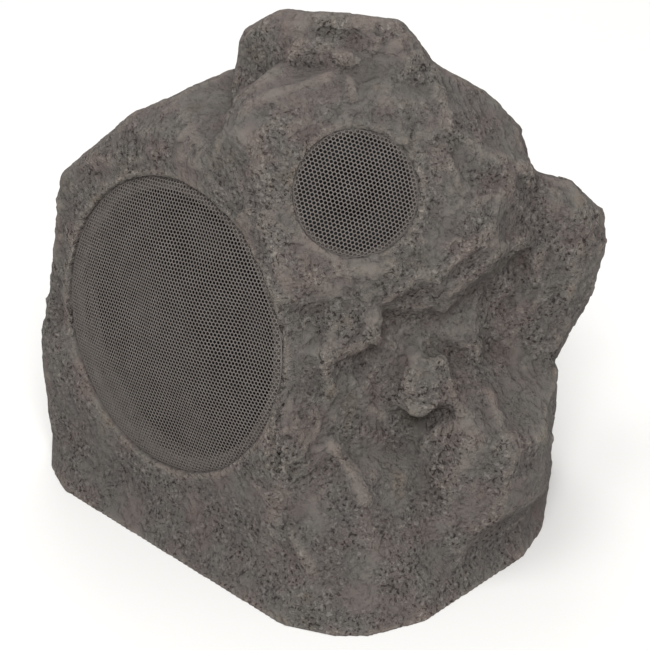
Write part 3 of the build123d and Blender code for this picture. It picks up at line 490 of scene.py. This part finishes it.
def grained(name, dark, light, grain, roughness, metallic=0.0, relief=0.0, shine=0.5):
    """Material whose colour, gloss and surface vary with an even grain, its size and relief in metres."""
    material, shader, here = new_material(name)
    spots = speckle(material, here, grain, {"Detail": 3.0, "Roughness": 0.6})
    gloss = stretch(material, spots, (0.0, 1.0), (roughness - GLOSS_PLAY, roughness + GLOSS_PLAY))
    set_inputs(material, shader, {"Base Color": tone(material, spots, (0.3, dark), (0.7, light)),
                                  "Normal": emboss(material, spots, 0.5, relief), "Roughness": gloss,
                                  "Metallic": metallic, "Specular IOR Level": shine})
    return material


def dress(material, *nodes):
    """Gives CAD nodes their material."""
    for node in nodes:
        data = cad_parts[node].data
        data.materials.clear()
        data.materials.append(material)


DULL = 0.12                 # low shine of blacks that stay dark behind a grille
# Black ABS with a spark-eroded texture from its mould
moulded_abs = grained("moulded_abs", "#232221", "#2E2D2B", 1.2 * MM, 0.55, relief=0.15 * MM)
dress(moulded_abs, "base_plate")
# Closed-cell rubber: matt black with a faint bloom
sealing_rubber = grained("sealing_rubber", "#141313", "#201F1F", 2.5 * MM, 0.8, relief=0.2 * MM, shine=DULL)
dress(sealing_rubber, "base_gasket", "cable_grommet")
# Zinc plate on steel, a little cloudy
zinc_plated_steel = grained("zinc_plated_steel", "#9A9A97", "#B5B5B1", 3 * MM, 0.35, metallic=1.0,
                            relief=0.03 * MM)
dress(zinc_plated_steel, "base_screws")

# Woofer
# A dynamic driver screwed to its ledge over a gasket: a pressed basket, a ferrite motor, and a
# polypropylene cone hung on a rubber roll and a corrugated cloth spider.
dress(sealing_rubber, "woofer_gasket")
# Blackened steel, so that nothing glints through the grille
blackened_steel = grained("blackened_steel", "#161616", "#202020", 2 * MM, 0.7, relief=0.03 * MM, shine=DULL)
dress(blackened_steel, "woofer_screws")
# Black powder coat, slightly pebbled
powder_coated_steel = grained("powder_coated_steel", "#161616", "#202020", 1.5 * MM, 0.6, relief=0.12 * MM,
                              shine=DULL)
dress(powder_coated_steel, "woofer_basket")
# Yellowish passivated zinc on the motor's plates
passivated_plate = grained("passivated_plate", "#8F8C80", "#ABA796", 6 * MM, 0.4, metallic=1.0,
                           relief=0.02 * MM)
dress(passivated_plate, "woofer_top_plate", "woofer_pole_piece")
# Sintered ferrite: charcoal, ground flat, with tiny chips
sintered_ferrite = grained("sintered_ferrite", "#2B2B2D", "#3A3A3C", 2 * MM, 0.6, relief=0.2 * MM)
dress(sintered_ferrite, "woofer_magnet")
# Polypropylene sheet, satin black with a soft mottle
polypropylene = grained("polypropylene", "#141414", "#1E1E1E", 5 * MM, 0.5, relief=0.05 * MM, shine=DULL)
dress(polypropylene, "woofer_cone", "woofer_dust_cap")
# Moulded plastic trim, coloured darker than real black plastic as painted shade behind the grilles
black_plastic = grained("black_plastic", "#101010", "#191919", 1.5 * MM, 0.6, relief=0.08 * MM, shine=DULL)
dress(black_plastic, "woofer_surround_ring")
# Tinned brass tags on a fibre strip
tinned_brass = grained("tinned_brass", "#A8935A", "#C4B27C", 1.5 * MM, 0.35, metallic=1.0, relief=0.03 * MM)
dress(tinned_brass, "woofer_terminal")

WAVE_GAP = 2 * pi / 20      # gap between the wave texture's bands at a scale of 1
WIRE = 0.6 * MM             # coarser than the real wire, so that it shows
THREAD = 0.9 * MM           # coarser than the real cloth, so that it shows


def striped(name, dark, light, gap, roughness, metallic):
    """Material of fine even threads or turns of wire across the Z axis, their gap in metres."""
    material, shader, here = new_material(name)
    wave = {"Vector": here, "Scale": WAVE_GAP / gap, "Distortion": 0.3}
    lines = add_node(material, "ShaderNodeTexWave", wave, bands_direction="Z").outputs["Fac"]
    set_inputs(material, shader, {"Base Color": tone(material, lines, (0.1, dark), (0.8, light)),
                                  "Normal": emboss(material, lines, 0.6, gap / 3), "Roughness": roughness,
                                  "Metallic": metallic, "Specular IOR Level": DULL})
    return material


# Enamelled copper wire, wound in even turns
enamelled_copper = striped("enamelled_copper", "#6B3516", "#B8703A", WIRE, 0.35, 1.0)
dress(enamelled_copper, "woofer_voice_coil")
# Cotton cloth stiffened with resin, pressed into rings
resined_cotton = striped("resined_cotton", "#8C744A", "#C0A36A", THREAD, 0.85, 0.0)
SECTORS = 16                # a flexible ring is cut into this many sectors round the woofer's axis
SHARP_EDGE = radians(40)    # edges turning by more than this are shaded sharp


def flexing_ring(node, material):
    """Replaces a ring between basket and cone by sectors cut round the woofer's axis."""
    reach = along_axis(node_points(node), woofer_middle, woofer_aim)[1]
    aim, middle, half_turn = Vector(woofer_aim), Vector(woofer_middle), pi / SECTORS
    for number in range(SECTORS):
        outward = Quaternion(aim, 2 * half_turn * number) @ aim.orthogonal().normalized()
        sector = node_copy(node, f"{node}_{number:02d}")
        bpy.ops.object.mode_set(mode="EDIT")
        for side in (-1, 1):
            bpy.ops.mesh.select_all(action="SELECT")
            beyond = side * aim.cross(Quaternion(aim, side * half_turn) @ outward)
            bpy.ops.mesh.bisect(plane_co=middle, plane_no=beyond, use_fill=True, clear_outer=True)
        bpy.ops.object.mode_set(mode="OBJECT")
        bpy.ops.object.shade_smooth_by_angle(angle=SHARP_EDGE)
        sector.data.materials.append(material)
        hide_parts(node)
        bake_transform(sector)


flexing_ring("woofer_surround", sealing_rubber)
flexing_ring("woofer_spider", resined_cotton)

# Woofer grille
# Perforated steel sheet pressed into a shallow dome, its rim rolled over and pushed into the seat. It is
# painted like the rock, and handling has left it gently dented.
HOLE_PITCH = 2.5 * MM
HOLE = 1.95 * MM            # across the flats of a hole
SHEET = 0.35 * MM
ROLLED_RIM = 0.6 * MM       # radius of the rolled edge, hidden behind the sheet
EDGE_PLAY = 0.1 * MM
DENT_REACH = 0.8            # share of the radius within which dents keep their depth
WOOFER_ROWS = radians(8)    # turn of the rows of holes
# Dents, each its place, radius and depth in millimetres
WOOFER_DENTS = ((-37, 5, 44, 4.5), (62, 20, 38, 4), (18, -58, 36, 3.5), (14, 62, 30, 3))
# Grey-brown paint on steel: satin, slightly uneven, with the rock's tint
grille_paint = grained("painted_perforated_steel", "#5F5955", "#6C6662", 12 * MM, 0.7, relief=0.02 * MM,
                       shine=0.25)


def perforated_cover(name, node, middle, aim, turn, dents):
    """Staggered holes in a sheet that is domed, dented, given its rolled rim and set on a driver's axis."""
    height, reach = along_axis(node_points(node), middle, aim)
    rim, crown, flat = reach.max(), height.max(), height[reach > reach.max() - SHEET].max()
    row = HOLE_PITCH * sqrt(3)
    bpy.ops.object.select_all(action="DESELECT")
    bpy.ops.mesh.primitive_circle_add(vertices=6, radius=HOLE_PITCH / sqrt(3), fill_type="NGON")
    cover = bpy.context.object
    cover.name, cover.data.name = name, name
    bpy.ops.object.mode_set(mode="EDIT")
    bpy.ops.mesh.select_all(action="SELECT")
    bpy.ops.mesh.inset(thickness=(HOLE_PITCH - HOLE) / 2)
    bpy.ops.mesh.delete(type="FACE")
    bpy.ops.object.mode_set(mode="OBJECT")
    columns, rows = int(rim / HOLE_PITCH) + 2, int(rim / row) + 2
    stagger = (HOLE_PITCH / 2, row / 2, 0)
    for count, step in ((2, stagger), (2 * columns, (HOLE_PITCH, 0, 0)), (2 * rows, (0, row, 0))):
        apply_modifier(cover, "ARRAY", count=count, use_relative_offset=False, use_constant_offset=True,
                       constant_offset_displace=step)
    places = read_points(cover)[0] - (columns * HOLE_PITCH, rows * row, 0)
    places = places @ np.array(Matrix.Rotation(-turn, 3, "Z"))
    write_points(cover, places)
    edge = rim - EDGE_PLAY
    beyond = np.hypot(places[:, 0], places[:, 1]) > edge
    corners = np.empty(len(cover.data.polygons) * 4, int)
    cover.data.polygons.foreach_get("vertices", corners)
    cover.data.polygons.foreach_set("select", beyond[corners.reshape(-1, 4)].all(1))
    pick_only(cover)
    bpy.ops.object.mode_set(mode="EDIT")
    bpy.ops.mesh.select_mode(type="FACE")
    bpy.ops.mesh.delete(type="FACE")
    bpy.ops.mesh.select_mode(type="VERT")
    bpy.ops.mesh.select_all(action="SELECT")
    bpy.ops.mesh.remove_doubles(threshold=HOLE_PITCH / 100)
    bpy.ops.object.mode_set(mode="OBJECT")

    places = read_points(cover)[0]
    out = np.hypot(places[:, 0], places[:, 1])
    places[:, :2] *= np.minimum(1, edge / np.maximum(out, edge))[:, None]
    out = np.minimum(out, edge)
    rise = crown - flat
    ball = (edge ** 2 + rise ** 2) / (2 * rise)
    places[:, 2] = flat + np.sqrt(ball ** 2 - out ** 2) - (ball - rise)
    for x, y, radius, depth in np.array(dents) * MM:
        away = np.hypot(places[:, 0] - x, places[:, 1] - y)
        places[:, 2] -= depth * (1 - ramp(away, 0, radius)) * (1 - ramp(out, DENT_REACH * edge, edge))
    places[:, 2] -= ROLLED_RIM * ramp(out, edge - 3 * ROLLED_RIM, edge)
    write_points(cover, places)
    apply_modifier(cover, "SOLIDIFY", thickness=SHEET, offset=-1)

    bpy.ops.object.select_all(action="DESELECT")
    bpy.ops.mesh.primitive_torus_add(location=(0, 0, flat - SHEET - 2 * ROLLED_RIM),
                                     major_radius=edge - ROLLED_RIM, minor_radius=ROLLED_RIM,
                                     major_segments=120, minor_segments=8)
    cover.select_set(True)
    bpy.context.view_layer.objects.active = cover
    bpy.ops.object.join()
    level = Vector((-aim.y, aim.x, 0)).normalized()
    axes = Matrix((level, aim.cross(level), aim)).transposed()
    cover.data.transform(Matrix.Translation(middle) @ axes.to_4x4())
    pick_only(cover)
    bpy.ops.object.shade_smooth_by_angle(angle=SHARP_EDGE)
    cover.data.materials.clear()
    cover.data.materials.append(grille_paint)
    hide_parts(node)
    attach(cover, "housing")


perforated_cover("woofer_cover", "woofer_grille", woofer_middle, woofer_aim, WOOFER_ROWS, WOOFER_DENTS)

# Tweeter
# A small dome driver behind the upper face: a moulded horn plate screwed to its ledge, a silk dome on a
# copper coil, and a little ferrite motor.
dress(sealing_rubber, "tweeter_gasket")
dress(black_plastic, "tweeter_faceplate")
dress(blackened_steel, "tweeter_screws")
dress(passivated_plate, "tweeter_top_plate", "tweeter_pole_piece")
dress(sintered_ferrite, "tweeter_magnet")
dress(tinned_brass, "tweeter_terminal")
dress(enamelled_copper, "tweeter_coil")
# Silk cloth, doped black, and coloured darker still as painted shade behind the tweeter grille
dress(striped("doped_silk_and_painted_shade", "#0C0C0C", "#161616", THREAD, 0.6, 0.0), "tweeter_dome")

# Tweeter grille
# A smaller cover of the same perforated sheet, pressed nearly flat, with the same rolled rim and paint.
# It is pushed into the seat round the tweeter.
TWEETER_ROWS = radians(-22)
TWEETER_DENTS = ((-10, 8, 16, 0.8), (14, -6, 14, 0.7))
perforated_cover("tweeter_cover", "tweeter_grille", tweeter_middle, tweeter_aim, TWEETER_ROWS,
                 TWEETER_DENTS)

# Crossover
# A fibre-glass board on stand-offs above the base plate, with a coil, two capacitors, a resistor and a
# terminal block soldered to it.
dress(black_plastic, "crossover_standoffs", "inductor_bobbin", "terminal_block", "tweeter_capacitor")
dress(zinc_plated_steel, "crossover_screws")
dress(enamelled_copper, "inductor_winding")
# Green solder mask over glass weave
dress(grained("solder_mask", "#16401F", "#215A2D", 4 * MM, 0.35, relief=0.03 * MM), "crossover_board")
# Yellow polyester film, glossy
dress(grained("polyester_film", "#B8941F", "#CBA72E", 8 * MM, 0.25, relief=0.03 * MM), "woofer_capacitor")
# White cement in a ceramic case, chalky
dress(grained("cement_ceramic", "#D3D0C6", "#E4E2DA", 1.5 * MM, 0.85, relief=0.15 * MM),
      "crossover_resistor")

# Leads
# Insulated leads run from the crossover's terminals to the tags of each driver. They are fixed at both
# ends and stay clear of the walls.
# Soft vinyl, satin dark red
dress(grained("soft_vinyl", "#521110", "#651816", 6 * MM, 0.4, relief=0.03 * MM),
      "woofer_lead", "tweeter_lead")

# Floor, light and camera
# The photograph shows the rock alone on white, in even studio light from the front and above. The floor
# is pale paper that keeps the rock's shadow.
FLOOR_SIZE = 12.0
bpy.ops.object.select_all(action="DESELECT")
bpy.ops.mesh.primitive_plane_add(size=FLOOR_SIZE)
floor = bpy.context.object
floor.name = "floor"
pale_paper, shader, _ = new_material("pale_paper")
set_inputs(pale_paper, shader, {"Base Color": colour("#EAE9E7"), "Roughness": 0.9})
floor.data.materials.append(pale_paper)

ROOM_LIGHT = 0.5            # light from all round, where the backdrop itself shows as white
world = bpy.data.worlds.new("studio")
bpy.context.scene.world = world
world.use_nodes = True
ray = add_node(world, "ShaderNodeLightPath", {}).outputs
shown = calculate(world, "MAXIMUM", ray["Is Camera Ray"], ray["Is Glossy Ray"])
shown = calculate(world, "MAXIMUM", shown, ray["Is Transmission Ray"])
set_inputs(world, world.node_tree.nodes["Background"],
           {"Color": colour("#FFFFFF"),
            "Strength": calculate(world, "MULTIPLY_ADD", shown, 1 - ROOM_LIGHT, ROOM_LIGHT)})

VIEW_TARGET = Vector((30.7, -33.2, 150)) * MM       # the point that the photograph is centred on
LAMP_DISTANCE = 3.0
LAMP_SIZE = 1.5


def direction(azimuth, elevation):
    """Direction away from the rock, by degrees round from the front to the right and up."""
    azimuth, elevation = radians(azimuth), radians(elevation)
    return Vector((sin(azimuth) * cos(elevation), -cos(azimuth) * cos(elevation), sin(elevation)))


def place_facing(name, data, away, distance):
    """New lamp or camera that faces the rock."""
    placed = bpy.data.objects.new(name, data)
    placed.location = VIEW_TARGET + away * distance
    placed.rotation_euler = away.to_track_quat("Z", "Y").to_euler()
    bpy.context.scene.collection.objects.link(placed)
    return placed


# Square soft boxes, each its azimuth, elevation and power in watts
for name, azimuth, elevation, power in (("front_box", 20, 47, 75), ("top_box", -60, 70, 19),
                                        ("back_box", 200, 45, 25)):
    lamp = bpy.data.lights.new(name, "AREA")
    lamp.size, lamp.energy = LAMP_SIZE, power
    place_facing(name, lamp, direction(azimuth, elevation), LAMP_DISTANCE)

VIEW_AZIMUTH, VIEW_ELEVATION = 18, 31
VIEW_DISTANCE = 1.15
VIEW_LENS = 104.4           # millimetres
camera = bpy.data.cameras.new("photo_view")
camera.lens = VIEW_LENS
bpy.context.scene.camera = place_facing("photo_view", camera, direction(VIEW_AZIMUTH, VIEW_ELEVATION),
                                        VIEW_DISTANCE)
bpy.context.scene.view_settings.view_transform = "Standard"
